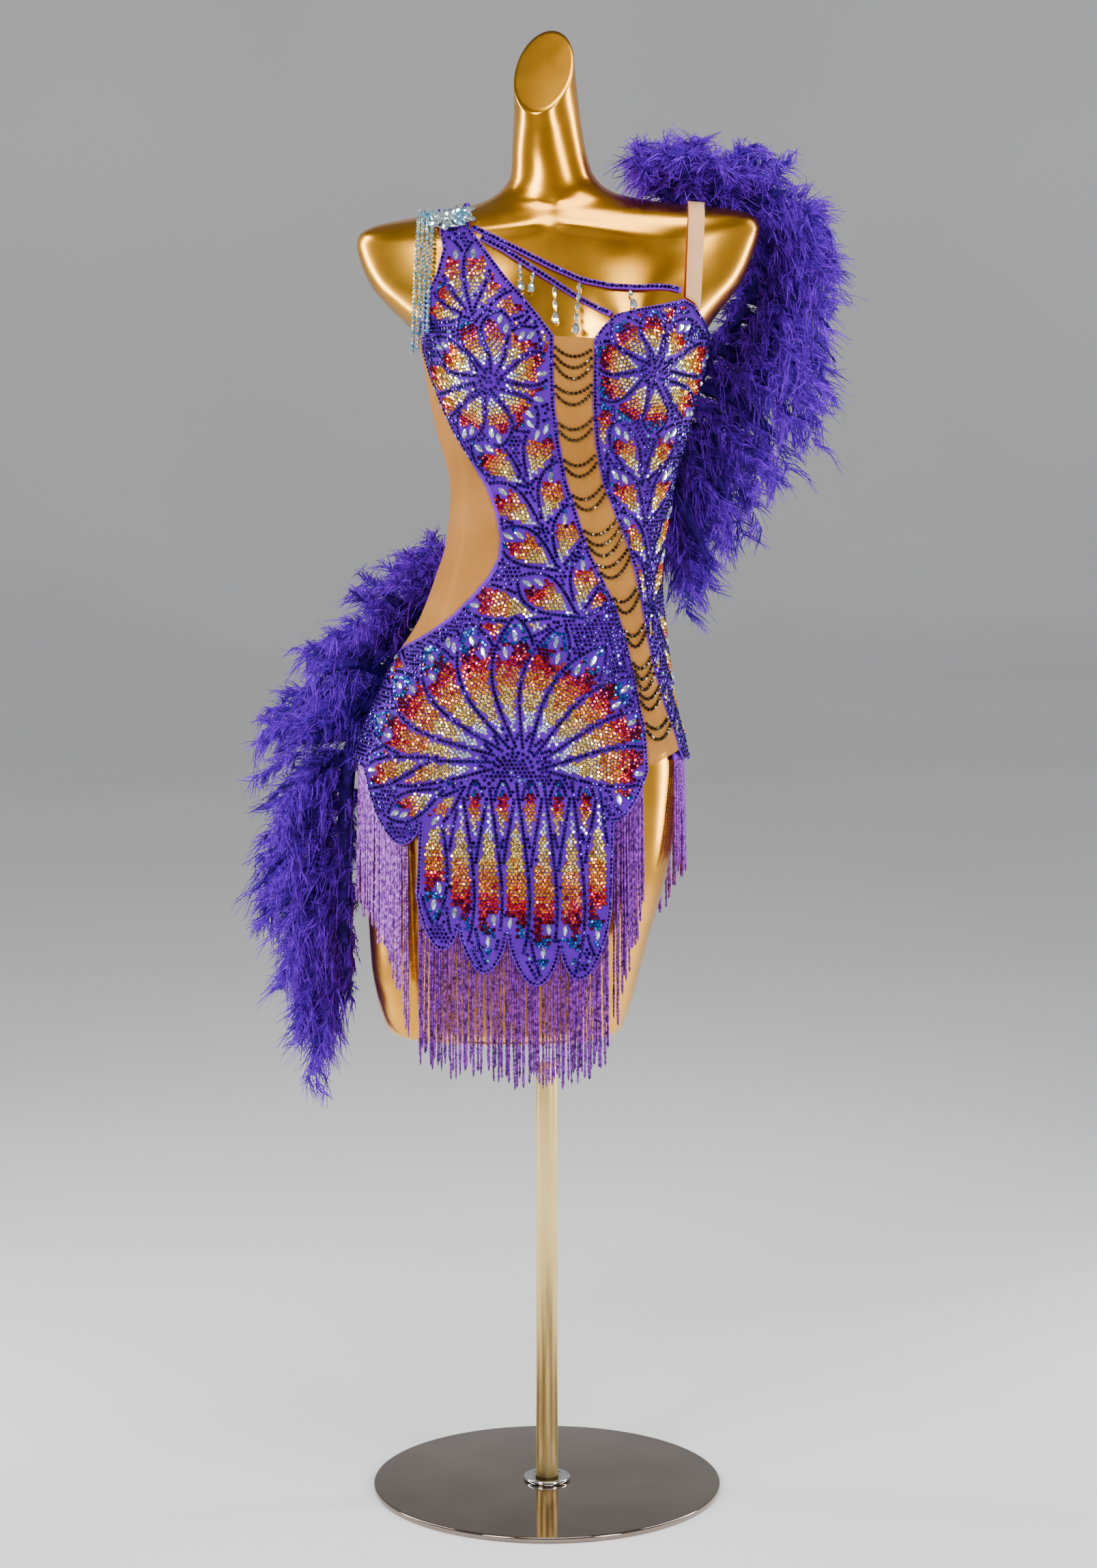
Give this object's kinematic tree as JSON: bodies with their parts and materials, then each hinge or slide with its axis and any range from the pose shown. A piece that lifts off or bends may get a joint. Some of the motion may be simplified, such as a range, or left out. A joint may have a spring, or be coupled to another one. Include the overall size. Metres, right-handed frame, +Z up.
{
  "type": "latin dance dress on a dress form stand",
  "caption": "One-shouldered latin dance dress with mesh insets, a lobed crystal hem, fringe and feather trims, worn by a limbless gold form on a round stand.",
  "frame": {"origin": "centre of the stand's underside, on the pole's axis", "axes": "+Z up, the front of the dress faces -Y, the wearer's right is at -X"},
  "size_m": [0.5941, 0.35, 1.4439],
  "materials": {
    "stand_mirror": "mirror-polished",
    "stand_gold": "polished plating",
    "stand_chrome": "polished",
    "form_gold": "metallic gold lacquer",
    "violet_stretch": "satin stretch cloth with crystals",
    "nude_mesh": "fine power mesh",
    "nude_elastic": "woven elastic",
    "violet_strap": "bound strap with crystals",
    "crystal": "cut, aurora coated",
    "lilac_fringe": "lustrous twisted rayon",
    "indigo_feather": "soft feather"
  },
  "bodies": {
    "root": {"stand_base": "stand_mirror", "stand_flange": "stand_chrome", "stand_pole_lower": "stand_gold", "stand_pole_upper": "stand_gold", "stand_sleeve": "stand_chrome", "display_form": "form_gold", "front_right": "violet_stretch", "front_left": "violet_stretch", "centre_mesh": "nude_mesh", "side_mesh": "nude_mesh", "back_mesh": "nude_mesh", "back_skirt": "violet_stretch", "left_strap": "nude_elastic", "chest_strap_upper": "violet_strap", "chest_strap_lower": "violet_strap", "bead_drop_1": "crystal", "bead_drop_2": "crystal", "bead_drop_3": "crystal", "bead_drop_4": "crystal", "bead_drop_5": "crystal", "shoulder_jewel": "crystal", "fringe_front": "lilac_fringe", "fringe_thigh": "lilac_fringe", "fringe_hip": "lilac_fringe", "fringe_back": "lilac_fringe", "feather_shoulder": "indigo_feather", "feather_hip": "indigo_feather"}
  },
  "joints": []
}
